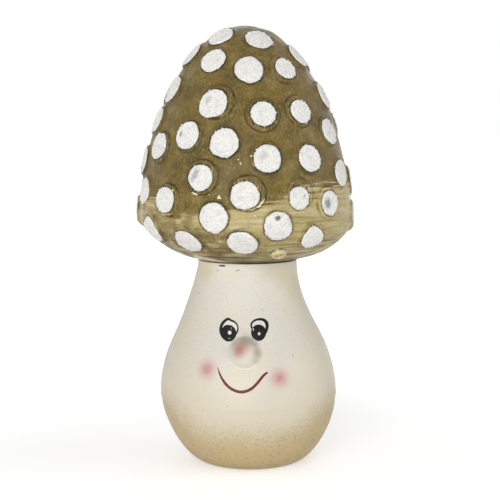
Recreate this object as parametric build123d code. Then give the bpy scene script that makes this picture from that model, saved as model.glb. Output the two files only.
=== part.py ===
from build123d import *
from math import cos, pi, radians, sin, tan
import os

# Ceramic mushroom ornament: a hollow smiling stem with a hollow spotted cap that lifts off and turns.
# Millimetres and degrees. +Z is up, the origin is the middle of the foot on the table,
# and the face looks along -Y. Radii are measured from the Z axis.

# Stem casting
FOOT_RADIUS = 22.0
FOOT_RECESS_RADIUS = 15.0
FOOT_RECESS_DEPTH = 1.5
BELLY_RADIUS = 44.0
BELLY_HEIGHT = 38.0
TAPER_RADIUS = 37.0
TAPER_HEIGHT = 65.5
NECK_RADIUS = 25.0
STEM_HEIGHT = 103.0
STEM_WALL = 4.5
STEM_FLOOR = 6.0
SHOULDER_THICKNESS = 5.0

# Spigot on the stem that centres the cap
SPIGOT_RADIUS = 17.0
SPIGOT_WALL = 4.0
SPIGOT_HEIGHT = 14.0
SPIGOT_CHAMFER = 0.8

# Soft ring between the two castings
SEAT_RING_THICKNESS = 1.0
SEAT_RING_CLEARANCE = 0.8
SEAT_RING_INSET = 0.4

# Cap casting
CAP_RADIUS = 53.2
CAP_CROWN_HEIGHT = 97.0
CAP_RIM_HEIGHT = 19.0
CAP_LAND_RADIUS = 25.4
CAP_WALL = 5.0
SOCKET_CLEARANCE = 1.0
SOCKET_LIP_WALL = 4.0
SOCKET_LIP_HEIGHT = 12.0

# Bulges are superellipses: 2 would be an ellipse, and less is a flatter, more pointed curve
FOOT_EXPONENT = 1.8
RIM_EXPONENT = 1.5
CROWN_EXPONENT = 1.83
BULGE_STEPS = 12
WALL_STATIONS = 14

# Clay buttons stuck on the cap with slip while soft, so they follow its curve and spread towards the
# foot. Each has a pad of white glitter grains glued on top.
SLIP_FILM = 0.1
BUTTON_TOP_RADIUS = 7.5
BUTTON_HEIGHT = 1.1
BUTTON_SPREAD = 22.0
BUTTON_ROOT = 8.0
BUTTON_GAP = 0.3
GLITTER_RADIUS = 7.0
GLITTER_THICKNESS = 0.6

# Each spot is (degrees round from the face towards +X, percent of the way from crown to land).
# The back of the cap carries the same rows turned half a turn.
HALF_TURN = 180.0
SPOT_ROWS = {
    "row_1": [(-42, 13.5), (17, 14.5)],
    "row_2": [(-76, 21.5), (-32, 24), (2, 27), (36, 26), (70, 20.5)],
    "row_3": [(-69, 34), (-22, 38.5), (11, 41.5), (38, 40.5), (77, 35)],
    "row_4": [(-75, 44.5), (-36, 49), (-12, 51), (12, 55.5), (38, 55.5), (61, 47)],
    "row_5": [(-59, 53), (-24, 62), (0, 67), (29, 67.5), (65, 60.5)],
    "row_6": [(-92, 74.5), (-68, 67.5), (-46, 69.5), (-16, 74), (17, 76), (50, 69.5)],
    "row_7": [(-60, 79.5), (-34, 82.5), (-2, 82.5), (38, 80.5)],
}
SIDE_SPOTS = [(-81, 58), (91, 63.5)]

# Small bare button pinched on under the rim
BARE_BUTTON_RADIUS = 3.6
BARE_BUTTON_HEIGHT = 1.6
BARE_BUTTON_ROUND = 0.9
BARE_BUTTON_PLACE = (21, 88)

# Nose ball, pressed into the stem, and the roll of slip that holds it. It sits a little to one side.
NOSE_RADIUS = 7.8
NOSE_HEIGHT = 61.5
NOSE_SINK = 2.4
NOSE_ROLL_RADIUS = 1.0
NOSE_TURN = -2.0

LAND_HEIGHT = STEM_HEIGHT + SEAT_RING_THICKNESS
RIM_HEIGHT = LAND_HEIGHT + CAP_RIM_HEIGHT
CROWN_HEIGHT = RIM_HEIGHT + CAP_CROWN_HEIGHT
BUTTON_TOP = SLIP_FILM + BUTTON_HEIGHT
GLITTER_TOP = BUTTON_TOP + SLIP_FILM + GLITTER_THICKNESS
SPOT_REACH = 2 * (BUTTON_TOP_RADIUS + BUTTON_ROOT * tan(radians(BUTTON_SPREAD)))
SOCKET_RADIUS = SPIGOT_RADIUS + SOCKET_CLEARANCE
LIP_RADIUS = SOCKET_RADIUS + SOCKET_LIP_WALL
AXIS_TURN = 90.0


def at(radius, height):
    """A point of a half profile, drawn in the XZ plane."""
    return Vector(radius, 0, height)


def bulge(centre_radius, centre_height, reach_out, reach_up, exponent):
    """A superellipse quarter that runs upwards, between its level end and its upright end."""
    power = 2 / exponent
    points = []
    for step in range(BULGE_STEPS + 1):
        turn = pi / 2 * step / BULGE_STEPS
        out = reach_out * sin(turn) ** power
        rise = reach_up * max(cos(turn), 0) ** power
        points.append(at(centre_radius + out, centre_height + rise))
    if reach_up > 0:
        return Spline(*reversed(points), tangents=[(0, 0, 1), (-1, 0, 0)])
    return Spline(*points, tangents=[(1, 0, 0), (0, 0, 1)])


def outward(outline, distance):
    """The outward normal of an outline that runs upwards, at a distance along it."""
    tangent = outline.tangent_at(distance, position_mode=PositionMode.LENGTH)
    return Vector(tangent.Z, 0, -tangent.X)


def stepped_in(outline, wall):
    """Points of a casting's inner face, one wall in from its outline."""
    points = []
    for station in range(WALL_STATIONS + 1):
        distance = outline.length * station / WALL_STATIONS
        point = outline.position_at(distance, position_mode=PositionMode.LENGTH)
        points.append(point - outward(outline, distance) * wall)
    return points


def turned(*edges):
    """The solid that a closed half profile sweeps round the Z axis."""
    return revolve(make_face(edges), axis=Axis.Z)


def stem_curves(film=0.0):
    """The stem's outline, foot to neck, with a film of slip on it if asked."""
    width = BELLY_RADIUS + film
    foot = bulge(FOOT_RADIUS, BELLY_HEIGHT, width - FOOT_RADIUS, -BELLY_HEIGHT - film, FOOT_EXPONENT)
    taper = Spline(
        at(width, BELLY_HEIGHT),
        at(TAPER_RADIUS + film, TAPER_HEIGHT),
        at(NECK_RADIUS + film, STEM_HEIGHT),
        tangents=[(0, 0, 1), (0, 0, 1)],
    )
    return [foot, taper]


def cap_curves(film=0.0):
    """The cap's outline, land to crown, with a film of slip on it if asked."""
    width = CAP_RADIUS + film
    reach = width - CAP_LAND_RADIUS
    rim = bulge(CAP_LAND_RADIUS, RIM_HEIGHT, reach, -CAP_RIM_HEIGHT - film, RIM_EXPONENT)
    crown = bulge(0, RIM_HEIGHT, width, CAP_CROWN_HEIGHT + film, CROWN_EXPONENT)
    return [rim, crown]


def blank(curves):
    """The solid inside an outline, closed to the axis. It trims what is stuck on that surface."""
    bottom = curves[0] @ 0
    top = curves[-1] @ 1
    points = [at(0, top.Z), at(0, bottom.Z), bottom]
    if top.X > SLIP_FILM:
        points.insert(0, top)
    return turned(*curves, *Polyline(*points).edges())


stem_outline = Wire(stem_curves())
cap_outline = Wire(cap_curves())


def make_stem_body():
    """Hollow stem with a recessed foot, a level shoulder and an open spigot."""
    ceiling = STEM_HEIGHT - SHOULDER_THICKNESS
    spigot_top = STEM_HEIGHT + SPIGOT_HEIGHT
    bore = SPIGOT_RADIUS - SPIGOT_WALL
    inner = [p for p in stepped_in(stem_outline, STEM_WALL) if STEM_FLOOR < p.Z < ceiling]
    inner.insert(0, at(inner[0].X, STEM_FLOOR))
    inner.append(at(NECK_RADIUS - STEM_WALL, ceiling))
    foot = Polyline(
        at(0, STEM_FLOOR),
        at(0, FOOT_RECESS_DEPTH),
        at(FOOT_RECESS_RADIUS, FOOT_RECESS_DEPTH),
        at(FOOT_RECESS_RADIUS, 0),
        at(FOOT_RADIUS, 0),
    )
    collar = Polyline(
        at(NECK_RADIUS, STEM_HEIGHT),
        at(SPIGOT_RADIUS, STEM_HEIGHT),
        at(SPIGOT_RADIUS, spigot_top - SPIGOT_CHAMFER),
        at(SPIGOT_RADIUS - SPIGOT_CHAMFER, spigot_top),
        at(bore, spigot_top),
        at(bore, ceiling),
        inner[-1],
    )
    floor = Line(inner[0], at(0, STEM_FLOOR))
    return turned(*foot.edges(), *stem_curves(), *collar.edges(), Spline(*inner), floor)


def make_seat_ring():
    """Flat soft washer on the shoulder, under the cap's land."""
    outer = Cylinder(NECK_RADIUS - SEAT_RING_INSET, SEAT_RING_THICKNESS)
    inner = Cylinder(SPIGOT_RADIUS + SEAT_RING_CLEARANCE, SEAT_RING_THICKNESS)
    return Pos(0, 0, STEM_HEIGHT + SEAT_RING_THICKNESS / 2) * (outer - inner)


def make_cap_shell():
    """Hollow cap with a level land and a turned-in lip that drops over the spigot."""
    lip_top = LAND_HEIGHT + SOCKET_LIP_HEIGHT
    start = at(LIP_RADIUS, LAND_HEIGHT + CAP_WALL)
    inner = [p for p in stepped_in(cap_outline, CAP_WALL) if p.X > start.X + CAP_WALL or p.Z > RIM_HEIGHT]
    inner.insert(0, start)
    lip = Polyline(
        inner[0],
        at(LIP_RADIUS, lip_top),
        at(SOCKET_RADIUS, lip_top),
        at(SOCKET_RADIUS, LAND_HEIGHT),
        at(CAP_LAND_RADIUS, LAND_HEIGHT),
    )
    ceiling = Spline(*inner)
    axis_line = Line(inner[-1], at(0, CROWN_HEIGHT))
    return turned(*lip.edges(), *cap_curves(), axis_line, ceiling)


def cap_place(place):
    """Where a spot stands on the cap: its location, with +Z along the surface normal."""
    degrees, percent = place
    distance = cap_outline.length * (1 - percent / 100)
    origin = cap_outline.position_at(distance, position_mode=PositionMode.LENGTH)
    normal = outward(cap_outline, distance)
    plane = Plane(origin=origin, x_dir=(0, 1, 0), z_dir=normal)
    return Rot(0, 0, degrees - AXIS_TURN) * plane.location


def plug(top_radius, spread, height):
    """A round plug through the cap's skin, up to a height above it, with sides that spread downwards."""
    length = BUTTON_ROOT + height
    bottom_radius = top_radius + length * tan(radians(spread))
    upwards = (Align.CENTER, Align.CENTER, Align.MIN)
    if spread == 0:
        return Pos(0, 0, -BUTTON_ROOT) * Cylinder(top_radius, length, align=upwards)
    return Pos(0, 0, -BUTTON_ROOT) * Cone(bottom_radius, top_radius, length, align=upwards)


def layer(bottom, top):
    """The skin of the cap between two heights above its outline."""
    return blank(cap_curves(top)) - blank(cap_curves(bottom))


def largest(shape):
    return shape.solids().sort_by(SortBy.VOLUME)[-1]


def full_rows():
    """Every row with its repeat on the back, and the lone side spots in the row of their height."""
    rows = {}
    for name, front in SPOT_ROWS.items():
        back = [(degrees + HALF_TURN, percent) for degrees, percent in front]
        rows[name] = front + back
    rows["row_5"] = rows["row_5"] + SIDE_SPOTS
    return rows


def make_spots():
    """Buttons and glitter pads by row. Where two buttons would meet, the later one gives way."""
    button_layer = layer(SLIP_FILM, BUTTON_TOP)
    glitter_layer = layer(BUTTON_TOP + SLIP_FILM, GLITTER_TOP)
    button_plug = plug(BUTTON_TOP_RADIUS, BUTTON_SPREAD, BUTTON_TOP)
    keep_out = plug(BUTTON_TOP_RADIUS + BUTTON_GAP, BUTTON_SPREAD, BUTTON_TOP)
    glitter_plug = plug(GLITTER_RADIUS, 0, GLITTER_TOP)
    stood = []
    spots = {}
    for name, places in full_rows().items():
        buttons = []
        pads = []
        for place in places:
            location = cap_place(place)
            button = location * button_plug & button_layer
            for other in stood:
                if (other.position - location.position).length < SPOT_REACH:
                    button = button - other * keep_out
            stood.append(location)
            buttons.append(largest(button))
            pads.append(largest(location * glitter_plug & glitter_layer))
        spots["spot_buttons_" + name] = Compound(buttons)
        spots["spot_glitter_" + name] = Compound(pads)
    return spots


def make_bare_button(cap_blank):
    """The small button with no glitter."""
    upwards = (Align.CENTER, Align.CENTER, Align.MIN)
    length = BUTTON_ROOT + BARE_BUTTON_HEIGHT
    knob = Pos(0, 0, -BUTTON_ROOT) * Cylinder(BARE_BUTTON_RADIUS, length, align=upwards)
    knob = fillet(knob.edges().group_by(Axis.Z)[-1], BARE_BUTTON_ROUND)
    return largest(cap_place(BARE_BUTTON_PLACE) * knob - cap_blank)


def make_nose(stem_blank):
    """A ball of clay, with its roll of slip, seated on the taper."""
    low = 0.0
    high = stem_outline.length
    while high - low > SLIP_FILM:
        middle = (low + high) / 2
        if stem_outline.position_at(middle, position_mode=PositionMode.LENGTH).Z < NOSE_HEIGHT:
            low = middle
        else:
            high = middle
    seat = stem_outline.position_at(low, position_mode=PositionMode.LENGTH)
    plane = Plane(origin=seat, x_dir=(0, 1, 0), z_dir=outward(stem_outline, low))
    ball = Pos(0, 0, -NOSE_SINK) * Sphere(NOSE_RADIUS)
    rim_radius = (NOSE_RADIUS**2 - NOSE_SINK**2) ** 0.5
    roll = Torus(rim_radius, NOSE_ROLL_RADIUS)
    placed = Rot(0, 0, NOSE_TURN - AXIS_TURN) * plane.location * (ball + roll)
    return largest(placed - stem_blank)


def make_parts():
    """Every node of the ornament by name."""
    cap_blank = blank(cap_curves(SLIP_FILM))
    stem_blank = blank(stem_curves(SLIP_FILM))
    parts = {
        "stem_body": make_stem_body(),
        "nose": make_nose(stem_blank),
        "seat_ring": make_seat_ring(),
        "cap_shell": make_cap_shell(),
        "bare_button": make_bare_button(cap_blank),
    }
    parts.update(make_spots())
    return parts


os.makedirs("parts", exist_ok=True)
for node, shape in make_parts().items():
    export_step(shape, f"parts/{node}.step")
    print(node, len(shape.solids()), "solids", round(shape.volume / 1000, 2), "cm3")
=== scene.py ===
# %% [markdown]
# # A ceramic mushroom ornament
# The real thing is two hollow castings: a cream stem with a painted smile, and an olive cap covered in
# stuck-on clay buttons, each topped with a pad of white glitter grains. The cap lifts off and turns.
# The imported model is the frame. The pieces below are sculpted in the place of its nodes or laid on them.

# %% Load the frame
import math
import random
from collections import namedtuple

import bmesh
import bpy
from mathutils import Matrix, Vector, noise
from mathutils.bvhtree import BVHTree


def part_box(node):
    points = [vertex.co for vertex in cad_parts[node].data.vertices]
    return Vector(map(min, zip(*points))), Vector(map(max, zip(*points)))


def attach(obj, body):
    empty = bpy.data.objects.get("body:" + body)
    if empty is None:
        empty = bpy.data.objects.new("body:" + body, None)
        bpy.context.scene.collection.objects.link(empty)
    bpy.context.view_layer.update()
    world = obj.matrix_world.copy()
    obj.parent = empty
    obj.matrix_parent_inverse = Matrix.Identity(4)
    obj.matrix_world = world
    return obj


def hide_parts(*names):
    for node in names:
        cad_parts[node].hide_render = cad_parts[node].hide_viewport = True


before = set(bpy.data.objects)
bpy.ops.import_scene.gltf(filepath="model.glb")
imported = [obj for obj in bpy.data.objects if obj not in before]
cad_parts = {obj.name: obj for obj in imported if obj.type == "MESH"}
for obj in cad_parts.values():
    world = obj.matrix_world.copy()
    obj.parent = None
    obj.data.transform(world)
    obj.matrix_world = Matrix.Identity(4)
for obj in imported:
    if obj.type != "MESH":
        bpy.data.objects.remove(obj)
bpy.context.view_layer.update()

MM = 0.001

# %% [markdown]
# ## From a bmesh to a piece
# Everything is modelled as a bmesh, which can still be changed point by point before it becomes an
# object. One helper makes it a piece: it points the faces outwards, shapes the points one by one if
# asked, and tells the frame the piece's body and its nodes. With all that in one place, nothing is
# forgotten.

# %% Helper for finished pieces
def as_piece(name, mesh, body, nodes=(), shaping=None, smooth=True):
    """Turns a bmesh into a piece that rides on a body and stands for CAD nodes."""
    bmesh.ops.recalc_face_normals(mesh, faces=mesh.faces)
    if shaping:
        for vert in mesh.verts:
            vert.co = shaping(vert.co)
    data = bpy.data.meshes.new(name)
    mesh.to_mesh(data)
    mesh.free()
    data.shade_smooth() if smooth else data.shade_flat()
    piece = bpy.data.objects.new(name, data)
    bpy.context.collection.objects.link(piece)
    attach(piece, body)
    if nodes:
        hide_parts(*nodes)
    print(name, len(data.polygons), "faces on", body)
    return piece


def gather(target, part):
    """Adds one bmesh to another and frees it."""
    carrier = bpy.data.meshes.new("carrier")
    part.to_mesh(carrier)
    part.free()
    target.from_mesh(carrier)
    bpy.data.meshes.remove(carrier)


# %% [markdown]
# ## Reading the castings' outlines
# Both castings are round, so one outline each describes them. It could be typed in again, but then it
# would drift when the CAD changes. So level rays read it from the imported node, closer together towards
# both ends, where the curve turns in fast.

# %% Outlines by level rays
RAY_START = 0.3
RAY_MARGIN = 0.02 * MM


def outline_of(node, low, high, count):
    """Points (radius, height) of a turned node's outer face, from its lower to its upper end."""
    points = []
    for number in range(count + 1):
        share = (1 - math.cos(math.pi * number / count)) / 2
        height = low + RAY_MARGIN + (high - low - 2 * RAY_MARGIN) * share
        start = Vector((0, -RAY_START, height))
        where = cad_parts[node].ray_cast(start, Vector((0, 1, 0)))[1]
        points.append((math.hypot(where.x, where.y), where.z))
    return points


SHOULDER_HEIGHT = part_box("seat_ring")[0].z
LAND_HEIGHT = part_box("cap_shell")[0].z
CROWN_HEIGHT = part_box("cap_shell")[1].z
stem_outline = outline_of("stem_body", 0, SHOULDER_HEIGHT, 120)
cap_outline = outline_of("cap_shell", LAND_HEIGHT, CROWN_HEIGHT, 150)
print("belly radius in mm:", round(max(stem_outline)[0] / MM, 1))
print("cap radius in mm:", round(max(cap_outline)[0] / MM, 1))

# %% [markdown]
# ## Turning a casting
# A casting could be a cylinder whose rings are scaled one by one. A closed half section, from the axis
# out and back to the axis, spun once round, gives the outside, the wall and the hollow at once. The
# spin merges its own seam and merging doubles closes the poles, so the casting is one watertight skin.

# %% Spin a half section
def spin_round(mesh, steps):
    """Spins the edges of a bmesh once round the upright axis."""
    whole = mesh.verts[:] + mesh.edges[:]
    turning = {"cent": (0, 0, 0), "axis": (0, 0, 1), "angle": math.tau}
    bmesh.ops.spin(mesh, geom=whole, steps=steps, use_merge=True, **turning)


def turn(section, steps):
    """A bmesh turned from a half section of (radius, height) points."""
    mesh = bmesh.new()
    verts = [mesh.verts.new((radius, 0, height)) for radius, height in section]
    for pair in zip(verts, verts[1:]):
        mesh.edges.new(pair)
    spin_round(mesh, steps)
    bmesh.ops.remove_doubles(mesh, verts=mesh.verts, dist=0.005 * MM)
    return mesh


def inner_wall(outline, wall, low, high):
    """The inside of a casting, one wall in from its outline, between two heights, going down."""
    return [(radius - wall, height) for radius, height in reversed(outline) if low < height < high]


# %% [markdown]
# ## The stem casting
# The stem is a hollow pear of slip-cast clay, with a recessed foot and an open spigot that centres the
# cap. Such castings are never quite true: this one leans at the foot, swells on one side above the
# face and has shallow dents. Sculpting could give that, but a function that moves each point can be
# read and changed, and it fades out towards the shoulder, so that the cap still seats.

# %% Shaping of the stem
FOOT_LEAN = 1.5 * MM
BELLY_LEAN = 0.3 * MM
SWELL = 1.8 * MM
SWELL_HEIGHT = 84 * MM
SWELL_REACH = 22 * MM
BELLY_SWELL = 0.8 * MM
BELLY_SWELL_HEIGHT = 32 * MM
BELLY_SWELL_REACH = 24 * MM
DENT_DEPTH = 0.28 * MM
DENT_SIZE = 24 * MM
SKIN_DEPTH = 0.035 * MM
SKIN_SIZE = 2.2 * MM
LEAN_END = 0.45 * SHOULDER_HEIGHT
LOOSE_END = 0.80 * SHOULDER_HEIGHT
SWELL_END = 0.93 * SHOULDER_HEIGHT
SEAT_START = 0.97 * SHOULDER_HEIGHT
STAND_HEIGHT = 6 * MM


def ease(value, low, high):
    """0 below low, 1 above high and a soft step between."""
    share = min(max((value - low) / (high - low), 0), 1)
    return share * share * (3 - 2 * share)


def shape_stem(point):
    """Leans, swells and dents a point of the stem."""
    loose = 1 - ease(point.z, LOOSE_END, SEAT_START)
    standing = ease(point.z, 0, STAND_HEIGHT)
    lean = FOOT_LEAN + (BELLY_LEAN - FOOT_LEAN) * ease(point.z, 0, LEAN_END)
    away = Vector((point.x, point.y, 0)).normalized()
    swell = SWELL * max(-away.x, 0) * (1 - ease(abs(point.z - SWELL_HEIGHT), 0, SWELL_REACH))
    swell *= 1 - ease(point.z, SWELL_END, SHOULDER_HEIGHT)
    swell += BELLY_SWELL * (1 - ease(abs(point.z - BELLY_SWELL_HEIGHT), 0, BELLY_SWELL_REACH))
    dent = DENT_DEPTH * noise.noise(point / DENT_SIZE) + SKIN_DEPTH * noise.noise(point / SKIN_SIZE)
    return point + Vector((lean * loose, 0, 0)) + away * (dent * loose * standing + swell)


# %% Turn the stem
STEM_WALL = 4.5 * MM
STEM_FLOOR = 6 * MM
FLOOR_SHARE = 0.75
INSIDE_STEP = 6
EDGE_BREAK = 0.6 * MM
STEM_CEILING = SHOULDER_HEIGHT - 5 * MM
RECESS_RADIUS = 15 * MM
RECESS_DEPTH = 1.5 * MM
SPIGOT_RADIUS = 17 * MM
SPIGOT_BORE = 13 * MM
SPIGOT_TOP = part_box("stem_body")[1].z
SPIGOT_CHAMFER = 0.8 * MM

foot = [(0, RECESS_DEPTH), (RECESS_RADIUS, RECESS_DEPTH), (RECESS_RADIUS, 0)]
neck_radius = stem_outline[-1][0]
spigot = [
    (neck_radius - EDGE_BREAK, SHOULDER_HEIGHT),
    (SPIGOT_RADIUS, SHOULDER_HEIGHT),
    (SPIGOT_RADIUS, SPIGOT_TOP - SPIGOT_CHAMFER),
    (SPIGOT_RADIUS - SPIGOT_CHAMFER, SPIGOT_TOP),
    (SPIGOT_BORE, SPIGOT_TOP),
    (SPIGOT_BORE, STEM_CEILING),
]
hollow = inner_wall(stem_outline, STEM_WALL, 3 * STEM_FLOOR, STEM_CEILING)[::INSIDE_STEP]
floor_line = [(hollow[-1][0] * FLOOR_SHARE, STEM_FLOOR), (0, STEM_FLOOR)]
stem_mesh = turn(foot + stem_outline + spigot + hollow + floor_line, steps=192)
stem_piece = as_piece("stem_casting", stem_mesh, "stem", ["stem_body"], shape_stem)

# %% [markdown]
# ## Painting on a round stem
# The face is brushwork, so it has a little thickness, which an image on the skin would not have. A
# Shrinkwrap modifier could pull strokes on to the stem, but it would press them flat. So paint is
# drawn flat, with x to the right, y up and z out of the stem, and then laid on: a ray from the front
# finds the skin, and the paint stands on it.

# %% Lay flat paint on the stem
stem_tree = BVHTree.FromPolygons(
    [vert.co for vert in stem_piece.data.vertices],
    [polygon.vertices for polygon in stem_piece.data.polygons],
)


def lay_on_stem(point):
    """Where a flat paint point (x, height, thickness) lands on the front of the stem."""
    start = Vector((point.x, -RAY_START, point.y))
    where, normal = stem_tree.ray_cast(start, Vector((0, 1, 0)))[:2]
    return where + normal * point.z


# %% [markdown]
# ## The nose
# A soft ball of clay pressed on between the eyes, on slip that was squeezed out into a thin roll. A
# plain sphere, half sunk, would cut the stem with a hard edge. So a sphere is laid on the skin point
# by point, with its sides drawn out softly, like pressed clay. A small circle, spun and pushed flat,
# gives the roll, of which only a pale crescent shows.

# %% Press on the nose
nose_low, nose_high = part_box("nose")
NOSE_MIDDLE = Vector(((nose_low.x + nose_high.x) / 2, (nose_low.z + nose_high.z) / 2, 0))
NOSE_WIDE = 8.5 * MM
NOSE_TALL = 7.8 * MM
NOSE_STAND = 5.3 * MM
NOSE_SOFTNESS = 3.0
NOSE_ROOT = 1.5 * MM
ROLL_RADIUS = 7.7 * MM
ROLL_THICKNESS = 0.85 * MM
ROLL_TALL = 0.97
ROLL_FLAT = 0.8
ROLL_SHOWN = 0.85

nose_mesh = bmesh.new()
bmesh.ops.create_uvsphere(nose_mesh, u_segments=72, v_segments=48, radius=1)
for vert in nose_mesh.verts:
    rise = vert.co.z
    stand = NOSE_STAND * rise ** NOSE_SOFTNESS if rise > 0 else NOSE_ROOT * rise
    vert.co = lay_on_stem(NOSE_MIDDLE + Vector((vert.co.x * NOSE_WIDE, vert.co.y * NOSE_TALL, stand)))
nose_piece = as_piece("nose_ball", nose_mesh, "stem", ["nose"])

roll_mesh = bmesh.new()
bmesh.ops.create_circle(roll_mesh, cap_ends=False, segments=12, radius=ROLL_THICKNESS)
bmesh.ops.rotate(roll_mesh, verts=roll_mesh.verts, matrix=Matrix.Rotation(math.pi / 2, 3, "X"))
bmesh.ops.translate(roll_mesh, verts=roll_mesh.verts, vec=(ROLL_RADIUS, 0, 0))
spin_round(roll_mesh, steps=72)
for vert in roll_mesh.verts:
    under = ease(-vert.co.y, 0.1 * ROLL_RADIUS, 0.95 * ROLL_RADIUS)
    stand = vert.co.z * ROLL_FLAT - ROLL_THICKNESS * (1 - ROLL_SHOWN * under)
    vert.co = lay_on_stem(NOSE_MIDDLE + Vector((vert.co.x, vert.co.y * ROLL_TALL, stand)))
roll_piece = as_piece("nose_slip_roll", roll_mesh, "stem")

# %% [markdown]
# ## Brush strokes
# A stroke swells and thins as the brush is pressed and lifted. Faces could be extruded along it, but a
# curve with a radius at each point gives just that swell, with smooth sides. It becomes a mesh, is
# flattened to a film and laid on the stem.

# %% Helper for strokes
PAINT_FILM = 0.16
PAINT_LIFT = 0.02 * MM


def stroke(mesh, points):
    """Adds a brush stroke through (x, height, half width) points in millimetres to a bmesh."""
    curve = bpy.data.curves.new("stroke", "CURVE")
    curve.dimensions = "3D"
    curve.bevel_depth = 1
    curve.bevel_resolution = 3
    curve.use_fill_caps = True
    spline = curve.splines.new("NURBS")
    spline.points.add(len(points) - 1)
    for place, (x, height, half_width) in zip(spline.points, points):
        place.co = (x * MM, height * MM, 0, 1)
        place.radius = half_width * MM
    spline.use_endpoint_u = True
    spline.order_u = 3
    spline.resolution_u = 6
    holder = bpy.data.objects.new("stroke", curve)
    data = bpy.data.meshes.new_from_object(holder)
    line = bmesh.new()
    line.from_mesh(data)
    bmesh.ops.remove_doubles(line, verts=line.verts, dist=0.002 * MM)
    for vert in line.verts:
        film = vert.co.z * PAINT_FILM + PAINT_LIFT
        vert.co = lay_on_stem(Vector((vert.co.x, vert.co.y, film)))
    gather(mesh, line)
    bpy.data.objects.remove(holder)
    bpy.data.curves.remove(curve)
    bpy.data.meshes.remove(data)


def dab(mesh, x, height, half_width, half_height, film, pinch=0.0):
    """Adds a flattened drop of paint to a bmesh. A pinch draws its top to a point."""
    drop = bmesh.new()
    bmesh.ops.create_uvsphere(drop, u_segments=40, v_segments=16, radius=1)
    for vert in drop.verts:
        narrow = 1 - pinch * max(vert.co.y, 0) ** 2
        flat = Vector((vert.co.x * half_width * narrow, vert.co.y * half_height, vert.co.z * film))
        vert.co = lay_on_stem((flat + Vector((x, height, 0))) * MM)
    gather(mesh, drop)


# %% [markdown]
# ## Eyes and mouth
# The eyes are a cream dab, a big black pupil low down, an outer line that thins as it comes round, one
# white dot and a few thin marks. One eye could be mirrored, but these were painted by hand and differ,
# so each is drawn by itself. The mouth is one red-brown line that starts with a hair tip.

# %% Paint the eyes
# Each layer of paint stands out past the one under it, in millimetres
WHITE_FILM = 0.07
PUPIL_FILM = 0.14
MARK_FILM = 0.2
LIGHT_FILM = 0.26
eye_whites = bmesh.new()
dab(eye_whites, -8.9, 72.8, 4.0, 3.9, WHITE_FILM, 0.35)
dab(eye_whites, 5.8, 73.0, 3.8, 3.7, WHITE_FILM, 0.1)
white_piece = as_piece("eye_whites", eye_whites, "stem")

eye_lines = bmesh.new()
dab(eye_lines, -9.1, 70.6, 3.75, 4.05, PUPIL_FILM)
dab(eye_lines, 5.5, 70.9, 3.7, 3.95, PUPIL_FILM)
stroke(eye_lines, [
    (-5.8, 69.6, 0.3), (-4.7, 71.3, 0.38), (-4.5, 73.5, 0.32), (-5.8, 75.5, 0.38), (-8.2, 76.3, 0.5),
    (-9.4, 77.0, 0.62), (-10.6, 76.2, 0.62), (-12.3, 74.6, 0.75), (-13.1, 72.2, 0.75), (-12.8, 69.8, 0.65),
    (-11.4, 67.7, 0.5), (-9.6, 66.6, 0.3),
])
stroke(eye_lines, [
    (3.4, 71.2, 0.2), (2.2, 72.6, 0.45), (1.6, 74.6, 0.42), (3.2, 76.3, 0.45), (5.6, 76.9, 0.55),
    (8.2, 76.5, 0.7), (9.6, 74.8, 0.85), (9.6, 72.4, 0.78), (8.8, 70.4, 0.5),
])
line_piece = as_piece("eye_lines", eye_lines, "stem")

eye_lights = bmesh.new()
dab(eye_lights, -8.6, 70.6, 1.05, 1.1, LIGHT_FILM)
dab(eye_lights, 5.7, 70.2, 0.75, 0.85, LIGHT_FILM)
dab(eye_lights, 2.9, 72.2, 0.28, 0.75, MARK_FILM)
dab(eye_lights, -7.8, 72.6, 0.11, 0.75, MARK_FILM)
dab(eye_lights, -8.7, 67.9, 0.75, 0.11, MARK_FILM)
light_piece = as_piece("eye_lights", eye_lights, "stem")

# %% Paint the mouth
mouth_mesh = bmesh.new()
stroke(mouth_mesh, [
    (-14.4, 54.6, 0.10), (-13.8, 52.4, 0.34), (-12.2, 49.2, 0.58), (-9.7, 46.0, 0.70), (-6.4, 44.0, 0.68),
    (-2.6, 43.2, 0.70), (1.2, 44.4, 0.70), (4.2, 46.8, 0.68), (6.6, 49.8, 0.66), (8.4, 51.7, 0.60),
    (9.8, 52.5, 0.42),
])
mouth_piece = as_piece("mouth_line", mouth_mesh, "stem")

# %% [markdown]
# ## Stray marks
# The dark wash of the cap ran down here and there: a dash under the seat and a few specks further
# down. Noise in the glaze would put them anywhere, so they are thin strokes and dabs, like the face,
# each where it dried.

# %% Let the wash run
stray_mesh = bmesh.new()
stroke(stray_mesh, [(-14.0, 101.9, 0.3), (-12.4, 102.0, 0.55), (-11.0, 102.0, 0.4)])
stroke(stray_mesh, [(-5.8, 99.6, 0.1), (-4.7, 100.0, 0.26), (-3.6, 100.5, 0.08)])
SPECK_FILM = 0.05
STRAY_SPECKS = [
    (-14.8, 99.4, 0.7, 0.12), (-24.2, 87.5, 0.26, 0.22), (7.0, 81.3, 0.24, 0.18), (22.1, 59.4, 0.15, 0.4),
    (-9.6, 36.5, 0.35, 0.15),
]
for x, height, half_width, half_height in STRAY_SPECKS:
    dab(stray_mesh, x, height, half_width, half_height, SPECK_FILM)
stray_piece = as_piece("stray_wash", stray_mesh, "stem")

# %% [markdown]
# ## The soft ring
# A thin felt washer lies between the castings, so that the cap turns without a scrape. Only its dark
# edge shows. Hair could give the wool, but at this size it would be lost, so it is a spun ring with
# softened corners, frayed a little by noise.

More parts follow.
